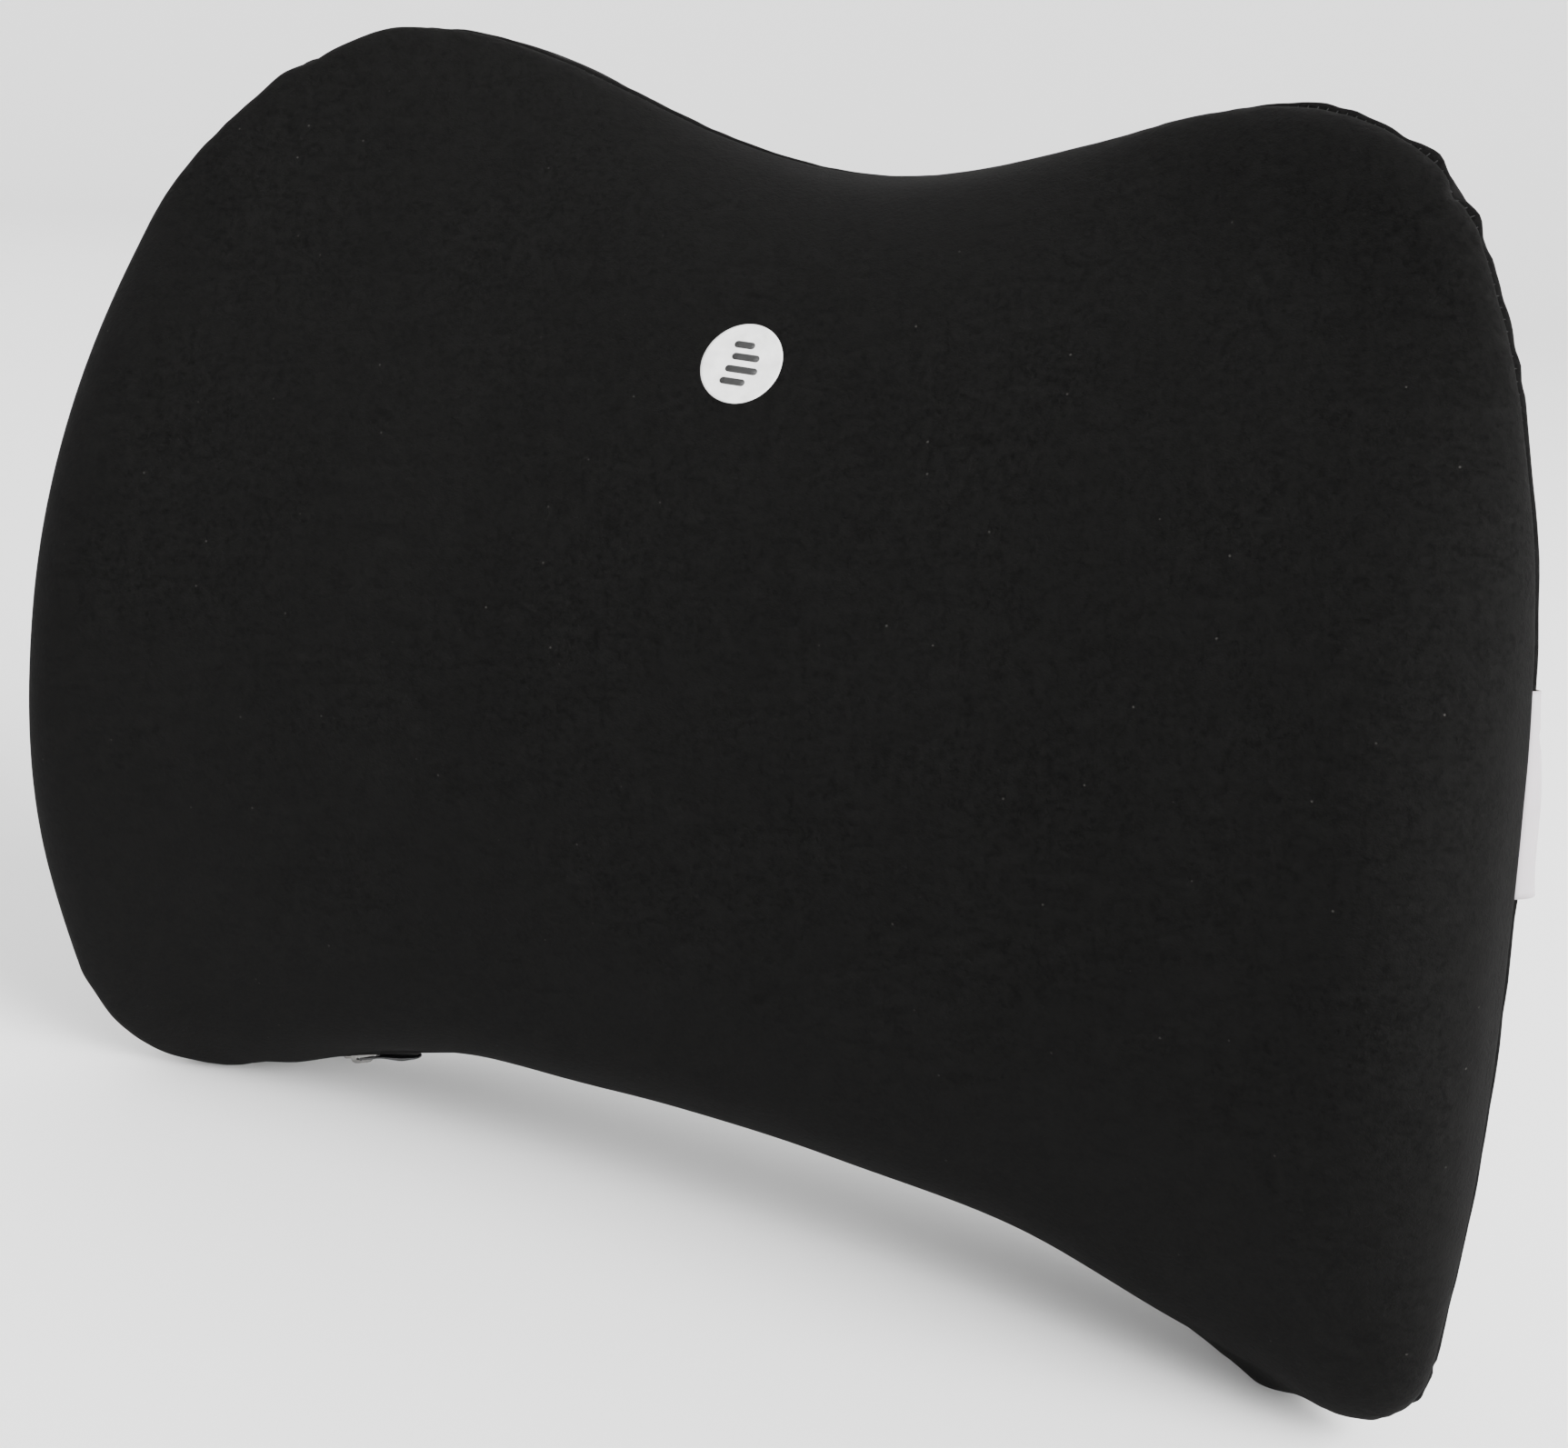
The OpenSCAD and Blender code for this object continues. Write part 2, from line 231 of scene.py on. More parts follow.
class Nodes:
    """Short-hand for one material's node tree."""

    def __init__(self, name):
        self.material = bpy.data.materials.new(name)
        self.material.use_nodes = True
        self.tree = self.material.node_tree
        self.shader = self.tree.nodes["Principled BSDF"]
        self.place = self.add("ShaderNodeTexCoord").outputs["Object"]

    def add(self, kind, **settings):
        node = self.tree.nodes.new(kind)
        for key, value in settings.items():
            setattr(node, key, value)
        return node

    def put(self, value, socket):
        if isinstance(value, bpy.types.NodeSocket):
            self.tree.links.new(value, socket)
        else:
            socket.default_value = value

    def set(self, **values):
        for key, value in values.items():
            self.put(value, self.shader.inputs[key])
        return self.material

    def noise(self, scale, detail, roughness=0.5, vector=None):
        node = self.add("ShaderNodeTexNoise")
        self.put(vector or self.place, node.inputs["Vector"])
        for key, value in (("Scale", scale), ("Detail", detail), ("Roughness", roughness)):
            node.inputs[key].default_value = value
        return node.outputs["Fac"]

    def cells(self, scale):
        node = self.add("ShaderNodeTexVoronoi", feature="F1")
        self.put(self.place, node.inputs["Vector"])
        node.inputs["Scale"].default_value = scale
        return node.outputs["Distance"]

    def math(self, operation, a, b):
        node = self.add("ShaderNodeMath", operation=operation)
        self.put(a, node.inputs[0])
        self.put(b, node.inputs[1])
        return node.outputs[0]

    def range(self, value, low, high, start, end):
        """Maps low..high to start..end, and holds the ends."""
        node = self.add("ShaderNodeMapRange")
        self.put(value, node.inputs["Value"])
        for key, number in (("From Min", low), ("From Max", high), ("To Min", start), ("To Max", end)):
            node.inputs[key].default_value = number
        return node.outputs["Result"]

    def mix(self, factor, a, b):
        node = self.add("ShaderNodeMix", data_type="RGBA")
        self.put(factor, node.inputs[0])
        self.put(a if isinstance(a, bpy.types.NodeSocket) else (*a, 1), node.inputs[6])
        self.put(b if isinstance(b, bpy.types.NodeSocket) else (*b, 1), node.inputs[7])
        return node.outputs[2]

    def bump(self, height, distance, strength, below=None):
        node = self.add("ShaderNodeBump")
        node.inputs["Distance"].default_value = distance
        node.inputs["Strength"].default_value = strength
        self.put(height, node.inputs["Height"])
        if below is not None:
            self.put(below, node.inputs["Normal"])
        return node.outputs["Normal"]

    def stretched(self, scale):
        node = self.add("ShaderNodeMapping")
        self.put(self.place, node.inputs["Vector"])
        node.inputs["Scale"].default_value = scale
        return node.outputs["Vector"]


def velour(name, base, lint):
    """Short dense nap: fibre grain, slow patches where the nap lies over, and a few lint specks."""
    m = Nodes(name)
    fibre = m.noise(2400, 2, 0.6)
    tuft = m.noise(800, 3, 0.6)
    patch = m.noise(18, 4, 0.55)
    colour = m.mix(m.range(patch, 0.3, 0.7, 0.0, 1.0), tuple(0.78 * c for c in base),
                   tuple(1.2 * c for c in base))
    colour = m.mix(m.range(tuft, 0.35, 0.75, 0.0, 0.9), colour, tuple(2.4 * c for c in base))
    colour = m.mix(m.range(m.noise(320, 2, 0.6), 0.45, 0.75, 0.0, 0.7), colour, tuple(2.2 * c for c in base))
    if lint:
        colour = m.mix(m.range(m.cells(120), 0.024, 0.038, 0.8, 0.0), colour, (0.035, 0.034, 0.032))
    normal = m.bump(fibre, 0.0002, 0.6, m.bump(tuft, 0.0004, 0.6))
    return m.set(**{"Base Color": colour, "Roughness": m.range(patch, 0.2, 0.8, 0.9, 1.0), "Normal": normal,
                    "Specular IOR Level": 0.04, "Sheen Weight": 0.006, "Sheen Roughness": 0.5,
                    "Sheen Tint": (1.0, 0.98, 0.96, 1.0)})


def woven(name, colour, pitch, depth, roughness, sheen=0.0):
    """A fine over-and-under weave of threads pitch metres apart."""
    m = Nodes(name)
    waves = []
    for axis in ("X", "Z"):
        wave = m.add("ShaderNodeTexWave", wave_type="BANDS", bands_direction=axis)
        m.put(m.place, wave.inputs["Vector"])
        wave.inputs["Scale"].default_value = 0.314 / pitch
        wave.inputs["Distortion"].default_value = 0.4
        waves.append(wave.outputs["Fac"])
    weave = m.math("MAXIMUM", waves[0], waves[1])
    shade = m.mix(m.math("MULTIPLY", weave, m.noise(60, 3)), tuple(0.72 * c for c in colour), colour)
    return m.set(**{"Base Color": shade, "Roughness": roughness, "Sheen Weight": sheen,
                    "Normal": m.bump(weave, depth, 0.8)})


def hard(name, colour, roughness, grain, metallic=0.0, coat=0.0, depth=0.00003):
    """Metal, moulded plastic or print: a slightly uneven colour and gloss over a fine grain."""
    m = Nodes(name)
    wear = m.noise(240, 5, 0.6)
    shade = m.mix(m.range(wear, 0.35, 0.65, 0.0, 1.0), tuple(0.8 * c for c in colour), colour)
    return m.set(**{"Base Color": shade, "Metallic": metallic, "Coat Weight": coat,
                    "Roughness": m.range(wear, 0.3, 0.7, 0.8 * roughness, min(1.0, 1.25 * roughness)),
                    "Normal": m.bump(m.noise(grain, 3), depth, 0.5)})


# ---------------------------------------------------------------- camera, floor and light
AZIMUTH, ELEVATION, ROLL = math.radians(25.2), math.radians(15.4), math.radians(5.0)
DISTANCE, LENS = 0.628, 56.05
AIM_RIGHT, AIM_UP = -6.0 * MM, -1.6 * MM
SKY_STRENGTH = 1.5
LIGHT_TARGET = (0, -0.04, 0.02)
# Name, place and size in metres, and power in watts
LIGHTS = [("key", (2.3, -1.0, 1.4), (1.6, 1.6), 250),
          ("fill", (-1.6, 1.4, 1.2), (1.4, 1.4), 6),
          ("behind", (0.9, 1.7, 1.3), (1.8, 0.8), 5)]


def make_camera():
    """The photo's camera, aimed near the middle of the cushion."""
    back = Vector((math.sin(AZIMUTH) * math.cos(ELEVATION), -math.cos(AZIMUTH) * math.cos(ELEVATION),
                   math.sin(ELEVATION)))
    level = Vector((math.cos(AZIMUTH), math.sin(AZIMUTH), 0))
    rise = back.cross(level)
    right = math.cos(ROLL) * level + math.sin(ROLL) * rise
    up = back.cross(right)
    place = Vector((0, -SEAM_Y * MM, 0)) + back * DISTANCE + right * AIM_RIGHT + up * AIM_UP
    data = bpy.data.cameras.new("camera")
    data.lens, data.sensor_width, data.sensor_fit = LENS, 36, "HORIZONTAL"
    data.clip_start, data.clip_end = 0.01, 100
    cam = bpy.data.objects.new("camera", data)
    cam.matrix_world = Matrix.Translation(place) @ Matrix((right, up, back)).transposed().to_4x4()
    bpy.context.scene.collection.objects.link(cam)
    bpy.context.scene.camera = cam


def area_light(name, place, size, power):
    """A soft rectangular light of a size in metres and a power in watts, turned towards the cushion."""
    data = bpy.data.lights.new(name, "AREA")
    data.shape, data.size, data.size_y, data.energy = "RECTANGLE", size[0], size[1], power
    lamp = bpy.data.objects.new(name, data)
    lamp.location = place
    lamp.rotation_mode = "QUATERNION"
    lamp.rotation_quaternion = (Vector(LIGHT_TARGET) - Vector(place)).to_track_quat("-Z", "Y")
    bpy.context.scene.collection.objects.link(lamp)


def make_stage(level):
    """A pale round floor that curves up far away, so that no horizon shows, under soft light."""
    world = bpy.data.worlds.new("studio")
    bpy.context.scene.world = world
    world.use_nodes = True
    sky = world.node_tree.nodes["Background"].inputs
    sky["Color"].default_value, sky["Strength"].default_value = (1, 1, 1, 1), SKY_STRENGTH
    m = Nodes("floor_paper")
    m.set(**{"Base Color": m.mix(m.noise(3, 2), (0.93, 0.93, 0.93), (0.95, 0.95, 0.95)), "Roughness": 0.95,
             "Specular IOR Level": 0.1, "Normal": m.bump(m.noise(400, 3), 0.0001, 0.3)})
    turn = np.linspace(0, 2 * math.pi, 97)[:-1]
    rings = [(r, 0.0) for r in (0.5, 1.0, 2.0, 3.0)]
    rings += [(3 + 1.5 * math.sin(a), 1.5 - 1.5 * math.cos(a)) for a in np.linspace(0.1, math.pi / 2, 12)]
    rings += [(4.5, 3.0)]
    verts = [(r * math.cos(a), r * math.sin(a), level + z) for r, z in rings for a in turn] + [(0, 0, level)]
    n = len(turn)
    faces = ring_quads(len(rings), n) + [((i + 1) % n, i, len(verts) - 1) for i in range(n)]
    floor = mesh_object("floor", verts, [f[::-1] for f in faces], m.material, body=None)
    for light in LIGHTS:
        area_light(*light)


make_camera()

# ---------------------------------------------------------------- zip frame, as in the CAD
# The zip follows an arc of radius ZIP_R in a tilted plane, ZIP_HALF degrees to each side of its middle
ZIP_R, ZIP_TILT, ZIP_HALF, ZIP_FORWARD = 279.0, math.radians(27.8), 27.0, 2.0
SLOT_HALF, TAPE_TOP, TAPE_W, TAPE_T, TAPE_GAP = 4.2, -2.5, 5.5, 0.4, 0.4
SLIDER_ANGLE, STOP_ANGLE = 25.2, 26.4
ZIP_MIDDLE = np.array([0, -(SEAM_Y - SEAM_LEAN * LOW_WAIST_Z ** 2 + ZIP_FORWARD), LOW_WAIST_Z])
ZIP_UP = np.array([0, math.cos(ZIP_TILT), math.sin(ZIP_TILT)])
ZIP_AXIS = np.array([0, -math.sin(ZIP_TILT), math.cos(ZIP_TILT)])
ZIP_CENTRE = ZIP_MIDDLE - ZIP_R * ZIP_UP


def zip_point(angle, u, v):
    """A point beside the zip: angle along its arc in degrees, u forward over the cover, v outward."""
    a = np.radians(np.asarray(angle, float))[..., None]
    u, v = np.asarray(u, float)[..., None], np.asarray(v, float)[..., None]
    radial = -np.sin(a) * np.array([1.0, 0, 0]) + np.cos(a) * ZIP_UP
    forward = -math.cos(ZIP_TILT) * radial + math.sin(ZIP_TILT) * ZIP_AXIS
    outward = -math.sin(ZIP_TILT) * radial - math.cos(ZIP_TILT) * ZIP_AXIS
    return ZIP_CENTRE + ZIP_R * radial + u * forward + v * outward


# ---------------------------------------------------------------- cover: one cloth shell, sewn at the seam
# Steps along each arc of one side, on the fine panels and on the shell that the cloth is worked out on
FINE = (45, 84, 60, 60, 51)
COARSE = (30, 56, 40, 40, 34)
# Depths in mm of the rings close to the seam
NEAR_FRONT = (0, 0.35, 0.7, 1.1, 1.6, 2.2, 2.8, 3.5, 4.2, 4.9, 5.5, 6.0, 6.5, 7.2, 8.2, 9.5)
NEAR_BACK = (0, 0.35, 0.7, 1.1, 1.6, 2.0, 2.4, 2.9, 3.6, 4.5)
RINGS, CROWN_RINGS, CLOTH_FRAMES = 16, 12, 20
# Most that the cloth's broad swelling and its small folds may lift the cover, in mm
SWELL_CAP, FOLD_CAP = 0.9, {"front": 0.35, "back": 0.9}
# Height of the rolled lip beside the seam and depth of the seam's groove, in mm
FRONT_ROLL, BACK_ROLL, SEAM_DIP = 0.4, 0.5, 1.1
# How full the cloth is gathered, by place along the outline: least at the lower lobe on the -X side
FULL_AT = (-5.0, -4.3, -3.9, -3.1, -2.2, -1.8, -1.2, 0.0, 0.8, 1.2,
           1.5, 1.8, 2.2, 2.9, 3.1, 3.5, 3.9, 4.3, 5.0)
FULL = (0.1, 0.2, 0.4, 0.1, 0.2, 0.7, 0.25, 0.15, 0.15, 0.25,
        0.6, 0.8, 0.25, 0.25, 0.7, 1.0, 0.6, 0.2, 0.1)


def resampled(steps):
    """Place of each outline point as u: 0 top middle, 5 bottom middle on +X, and -5..0 on the way back up."""
    half = np.concatenate([k + np.arange(n) / n for k, n in enumerate(steps)] + [[5.0]])
    return np.concatenate([half, -half[1:-1][::-1]])


def once_round(u):
    """Places u as numbers from 0 to 10 that only rise round the outline."""
    return np.mod(u, 10)


def closed_shell(steps, near_front, near_back, roll, crown):
    """Both panels of the cover's outer face, and the points and faces of them sewn into one shell."""
    front = Grid("front", 0.0, steps, near_front, roll, crown)
    back = Grid("back", 0.0, steps, near_back, roll, crown)
    front_verts, back_verts = front.verts(), back.verts()
    n = front.count
    faces = front.faces() + back.faces(start=len(front_verts), shared=np.arange(n))
    return front, back, np.vstack([front_verts, back_verts[n:]]), faces


def simulate():
    """Displacement of the coarse shell as cloth: full at the seam, pushed out inside, held by the foam."""
    front, back, verts, faces = closed_shell(COARSE, [], [], RINGS, CROWN_RINGS)
    n, total = front.count, len(verts)
    obj = mesh_object("shell_sim", verts * MM, faces, None, body=None)
    hold = obj.vertex_groups.new(name="hold")
    loose = obj.vertex_groups.new(name="loose")
    u = resampled(COARSE)
    fullness = np.interp(u, FULL_AT, FULL)
    w = np.concatenate([front.w.ravel(), [2.0], back.w[1:].ravel(), [2.0]])
    column = np.concatenate([np.tile(np.arange(n), len(front.points)), [0],
                             np.tile(np.arange(n), len(back.points) - 1), [0]])
    slack = np.clip(1 - w / 0.55, 0, 1) * fullness[column]
    for i in range(total):
        hold.add([i], 1.0 if i < n else 0.12, "REPLACE")
        if slack[i] > 0:
            loose.add([i], float(slack[i]), "REPLACE")
    modifier = obj.modifiers.new("cloth", "CLOTH")
    cloth = modifier.settings
    cloth.quality, cloth.mass = 5, 0.3
    cloth.tension_stiffness = cloth.compression_stiffness = 25
    cloth.shear_stiffness, cloth.bending_stiffness = 10, 0.4
    cloth.vertex_group_mass, cloth.pin_stiffness = "hold", 1.0
    cloth.vertex_group_shrink, cloth.shrink_min, cloth.shrink_max = "loose", 0.0, -0.06
    cloth.use_pressure, cloth.uniform_pressure_force = True, 3.0
    cloth.effector_weights.gravity = 0
    modifier.collision_settings.use_collision = False
    for number in range(1, CLOTH_FRAMES + 1):
        bpy.context.scene.frame_set(number)
    evaluated = obj.evaluated_get(bpy.context.evaluated_depsgraph_get())
    moved = np.array([v.co for v in evaluated.data.vertices]) / MM - verts
    bpy.context.scene.frame_set(1)
    bpy.data.objects.remove(obj)
    fields = {}
    cut = len(front.points) * n
    fields["front"] = np.vstack([moved[:cut], np.repeat(moved[cut:cut + 1], n, 0)]).reshape(-1, n, 3)
    rest = np.vstack([moved[:n], moved[cut + 1:-1], np.repeat(moved[-1:], n, 0)])
    fields["back"] = rest.reshape(-1, n, 3)
    places = {"front": np.vstack([front.w, np.full(n, 2.0)]), "back": np.vstack([back.w, np.full(n, 2.0)])}
    return fields, places


def catmull(values, t):
    """Cubic through rows of values at whole-number places, read at places t."""
    i = np.clip(np.floor(t).astype(int), 0, len(values) - 2)
    f = (t - i).reshape(t.shape + (1,) * (values.ndim - 1))
    a, b, c, d = (values[np.clip(i + k, 0, len(values) - 1)] for k in (-1, 0, 1, 2))
    return b + 0.5 * f * (c - a + f * (2 * a - 5 * b + 4 * c - d + f * (3 * (b - c) + d - a)))


def spread(field, place, grid, u):
    """The coarse displacement at each point of a fine panel."""
    order = once_round(resampled(COARSE))
    at = np.interp(once_round(u), np.append(order, 10.0), np.arange(len(order) + 1))
    wrapped = np.concatenate([field[:, -2:], field, field[:, :3]], 1)
    columns = catmull(wrapped.transpose(1, 0, 2), at + 2)
    out = np.empty_like(grid.points)
    for k in range(grid.count):
        w = place[:, 0]
        rows = np.interp(grid.w[:, k], w, np.arange(len(w)))
        out[:, k] = catmull(columns[k], rows)
    return out


def smooth_rows(field, passes):
    """Averages each ring with its neighbours along the seam, passes times over."""
    for _ in range(passes):
        field = 0.5 * field + 0.25 * (np.roll(field, 1, 1) + np.roll(field, -1, 1))
    return field


# How far the sewn cover stands out from the CAD's outline, in mm, by place along the outline (see resampled):
# down the +X side from the middle of the top to the middle of the bottom, and up the -X side again
OUT_AT = (0.0, 0.7, 1.15, 1.4, 1.55, 1.85, 2.15, 2.5, 2.9, 3.3, 3.8, 4.15, 4.45, 4.75, 5.0, -4.8, -4.62,
          -4.42, -4.24, -4.12, -3.9, -3.6, -3.35, -3.15, -3.0, -2.85, -2.5, -2.1, -1.8, -1.4, -1.1, -0.8,
          -0.55)
OUT = (-0.4, 1.0, -2.2, 0.0, 1.3, -2.2, 0.9, 0.3, 0.9, 0.5, -4.0, -2.0, -3.4, 1.4, 3.3, 1.2, -2.8,
       -4.2, -1.8, 1.5, -0.9, -0.9, -2.5, -4.1, -2.9, -0.4, -2.1, 0.2, -2.7, 0.1, -2.4, 0.1, 0.2)
# Puckers of the seam: panel, place, height mm, half width along the seam mm, reach from the seam mm
PUCKERS = (
    ("back", 1.35, 1.0, 16.0, 8.0), ("back", 1.57, 1.3, 5.0, 8.0), ("back", 1.64, -1.5, 1.8, 7.0),
    ("back", 1.69, 1.2, 3.2, 7.0), ("front", 1.64, -1.3, 2.2, 9.0), ("front", 1.60, 0.4, 4.0, 8.0),
    ("front", 1.72, 0.5, 4.0, 8.0), ("back", 1.84, 0.4, 5.0, 7.0), ("back", 1.95, 0.3, 5.0, 7.0),
    ("front", -1.63, 0.8, 5.0, 12.0), ("front", -1.56, -0.5, 5.0, 12.0), ("front", -1.42, 0.7, 7.0, 12.0),
    ("back", -1.60, 1.0, 6.0, 7.0), ("back", -1.48, 0.6, 6.0, 6.0),
    ("back", 3.20, 1.1, 4.0, 7.0), ("back", 3.30, -0.8, 2.6, 7.0), ("back", 3.42, 1.1, 4.0, 7.0),
    ("back", 3.56, -0.6, 3.0, 6.0), ("front", 3.30, -0.4, 3.0, 8.0), ("front", 3.56, -0.5, 3.0, 6.0),
)
# Fine gathers beside the seam: how many round the outline, height, phase
GATHERS = ((93, 0.30, 0.4), (121, 0.24, 1.9), (64, 0.30, 3.1), (157, 0.14, 5.0))
# Broad soft waves of the front: place across mm, slant, half width mm, height mm
WAVES = ((-92, 0.10, 16, 0.7), (-62, 0.08, 14, -0.6), (-34, 0.06, 18, 0.5), (40, -0.05, 22, 0.4),
         (84, -0.08, 18, -0.5), (122, -0.10, 18, 0.4))


def edge_distance(grid):
    """Distance in from the seam down each column, in mm."""
    step = np.linalg.norm(np.diff(grid.points, axis=0), axis=2)
    return np.vstack([np.zeros(grid.count), np.cumsum(step, 0)])


def along_seam(grid):
    """Distance of each column along the seam, and the seam's whole length, in mm."""
    ring = grid.points[0]
    step = np.linalg.norm(np.roll(ring, -1, 0) - ring, axis=1)
    return np.concatenate([[0], np.cumsum(step)[:-1]]), step.sum()


def hump(distance, reach):
    """0 at the seam, about 1 a fifth of the way to reach, and 0 again past it."""
    x = np.clip(distance / reach, 0, 1)
    return np.sin(math.pi * np.sqrt(x)) ** 2 * (1 - x) * 1.35


def zip_place(points):
    """Angle along the zip's arc, u and v of points in mm."""
    q = points - ZIP_CENTRE
    x, up, axis = q[..., 0], q @ ZIP_UP, q @ ZIP_AXIS
    r = np.hypot(x, up) - ZIP_R
    angle = np.degrees(np.arctan2(-x, up))
    u = -math.cos(ZIP_TILT) * r + math.sin(ZIP_TILT) * axis
    v = -math.sin(ZIP_TILT) * r - math.cos(ZIP_TILT) * axis
    return angle, u, v


def smoothstep(x):
    x = np.clip(x, 0, 1)
    return x * x * (3 - 2 * x)


def sink_zip(points):
    """Lets the cloth fold down into the zip's slot, with a soft lip on either side."""
    angle, u, v = zip_place(points)
    inside = smoothstep((ZIP_HALF + 0.5 - np.abs(angle)) / 0.7) * (np.abs(v) < 12)
    deep = smoothstep((SLOT_HALF + 0.15 - np.abs(u)) / 0.9) * inside
    lip = np.exp(-((np.abs(u) - 5.2) / 1.1) ** 2) * inside * 0.35
    target = np.where(deep > 0, deep * (-3.95 - v), 0) + lip
    a = np.radians(angle)[..., None]
    radial = -np.sin(a) * np.array([1.0, 0, 0]) + np.cos(a) * ZIP_UP
    outward = -math.sin(ZIP_TILT) * radial - math.cos(ZIP_TILT) * ZIP_AXIS
    return points + target[..., None] * outward


def round_ring(at, values, place, around):
    """A smooth closed curve through values at the places at, along a ring that is around mm long."""
    at, values = np.concatenate([at - around, at, at + around]), np.tile(values, 3)
    slope = np.gradient(values, at)
    k = np.searchsorted(at, place, side="right") - 1
    span = at[k + 1] - at[k]
    t = (place - at[k]) / span
    return values[k] + (values[k + 1] - values[k]) * t * t * (3 - 2 * t) \
        + span * t * (1 - t) * ((1 - t) * slope[k] - t * slope[k + 1])


def panel_normals(grid):
    """Unit normals of a panel, with those of its seam laid level."""
    normals = vertex_normals(grid.verts(), grid.faces())[:-1].reshape(grid.points.shape)
    normals[0, :, 1] = 0
    normals[0] /= np.linalg.norm(normals[0], axis=1, keepdims=True)
    return normals


def standing_out(grid, u):
    """How the sewn cover, and all that is in it, stands out from the CAD's outline: a shift of each point.
    The shift fades towards the middle of the panel and along the zip, which keeps its place."""
    front = grid.side == "front"
    d = edge_distance(grid)
    place, around = along_seam(grid)
    knots = np.interp(once_round(OUT_AT), np.append(once_round(u), 10), np.append(place, around))
    along_zip = smoothstep((np.abs(u) - 3.7) / 0.3)
    out = round_ring(knots, OUT, place, around) * np.exp(-(d / (42.0 if front else 20.0)) ** 2)
    out *= 1 - along_zip * (1 - (smoothstep((d - 8) / 10) if front else 0 * d))
    return out[..., None] * panel_normals(grid)[0]


def dress(grid, sim, u):
    """The fine panel with the cloth's own movement, seam, gathers, puckers and soft waves."""
    d = edge_distance(grid)
    place, around = along_seam(grid)
    front = grid.side == "front"
    lift = (FRONT_ROLL if front else BACK_ROLL) * hump(d, 14.0 if front else 9.0)
    lift -= SEAM_DIP * np.exp(-(d / 0.8) ** 1.5)
    phase = 2 * math.pi * np.arange(grid.count) / grid.count
    gather = sum(height * np.sin(number * phase + start) for number, height, start in GATHERS)
    lift += (0.22 if front else 0.6) * np.interp(u, FULL_AT, FULL) * gather * hump(d, 13.0)
    for side, at, height, width, far in PUCKERS:
        if side == grid.side:
            centre = np.interp(once_round(at), once_round(u), place)
            gap = np.abs(place - centre)
            gap = np.minimum(gap, around - gap)
            lift += height * np.exp(-(gap / width) ** 2) * hump(d, far)
    points = grid.points + sim
    if front:
        x, z = grid.points[..., 0], grid.points[..., 2]
        for across, slant, width, height in WAVES:
            lift += height * np.exp(-((x - across - slant * z) / width) ** 2) * smoothstep((d - 8) / 40)
    return points + lift[..., None] * panel_normals(grid) + standing_out(grid, u)


def settle(field, place, cap):
    """Keeps the cloth's small folds by the seam and eases its broad swelling off: the foam's shape stays."""
    broad = smooth_rows(field, 60)
    size = np.linalg.norm(broad, axis=2, keepdims=True)
    fine = field - broad
    fine_size = np.linalg.norm(fine, axis=2, keepdims=True)
    near = (0.1 + 0.9 * smoothstep(1 - (place - 0.15) / 0.5))[..., None]
    return broad * SWELL_CAP * np.tanh(size / SWELL_CAP / 3) / np.maximum(size, 1e-6) \
        + near * fine * cap * np.tanh(fine_size / cap) / np.maximum(fine_size, 1e-6)


front_grid, back_grid, _, _ = closed_shell(FINE, NEAR_FRONT, NEAR_BACK, 30, 24)
fine_u = resampled(FINE)
fields, places = simulate()
moves = {side: spread(settle(fields[side], places[side], FOLD_CAP[side]), places[side], g, fine_u)
         for side, g in (("front", front_grid), ("back", back_grid))}

velour_front = velour("velour_face", (0.0022, 0.00217, 0.0021), True)
velour_back = velour("velour_back", (0.0023, 0.00225, 0.0022), False)
covers = {}
for grid, name, node, material in ((front_grid, "cover_face", "cover_front", velour_front),
                                   (back_grid, "cover_rear", "cover_back", velour_back)):
    shaped = sink_zip(dress(grid, moves[grid.side], fine_u))
    middle = shaped[-1].mean(0) + grid.middle - grid.points[-1].mean(0)
    shaped = np.vstack([shaped.reshape(-1, 3), middle[None]])
    if grid.side == "back":
        shaped[:, 1] = np.minimum(shaped[:, 1], 0)
    covers[grid.side] = shaped
    piece = mesh_object(name, shaped * MM, grid.faces(), material)
    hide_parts(node)


# ---------------------------------------------------------------- stitches in the seam
def tube(path, radius, sides):
    """Round tube along a path in mm, with flat ends."""
    path = np.asarray(path, float)
    n = len(path)
    ahead = np.gradient(path, axis=0)
    ahead /= np.maximum(np.linalg.norm(ahead, axis=1, keepdims=True), 1e-9)
    oblique = np.array([0.3, 0.2, 1.0])
    a = np.cross(ahead, oblique)
    a /= np.maximum(np.linalg.norm(a, axis=1, keepdims=True), 1e-9)
    b = np.cross(ahead, a)
    turn = 2 * math.pi * np.arange(sides) / sides
    radius = np.broadcast_to(radius, n)[:, None, None]
    around = np.cos(turn)[None, :, None] * a[:, None] + np.sin(turn)[None, :, None] * b[:, None]
    rings = path[:, None] + radius * around
    faces = ring_quads(n, sides, flipped=True)
    faces += [tuple(range(sides)), tuple(range((n - 1) * sides, n * sides))[::-1]]
    return rings.reshape(-1, 3), faces


def joined(parts):
    """Several meshes as one."""
    verts, faces, start = [], [], 0
    for v, f in parts:
        verts.append(v)
        faces += [tuple(start + i for i in q) for q in f]
        start += len(v)
    return np.vstack(verts), faces


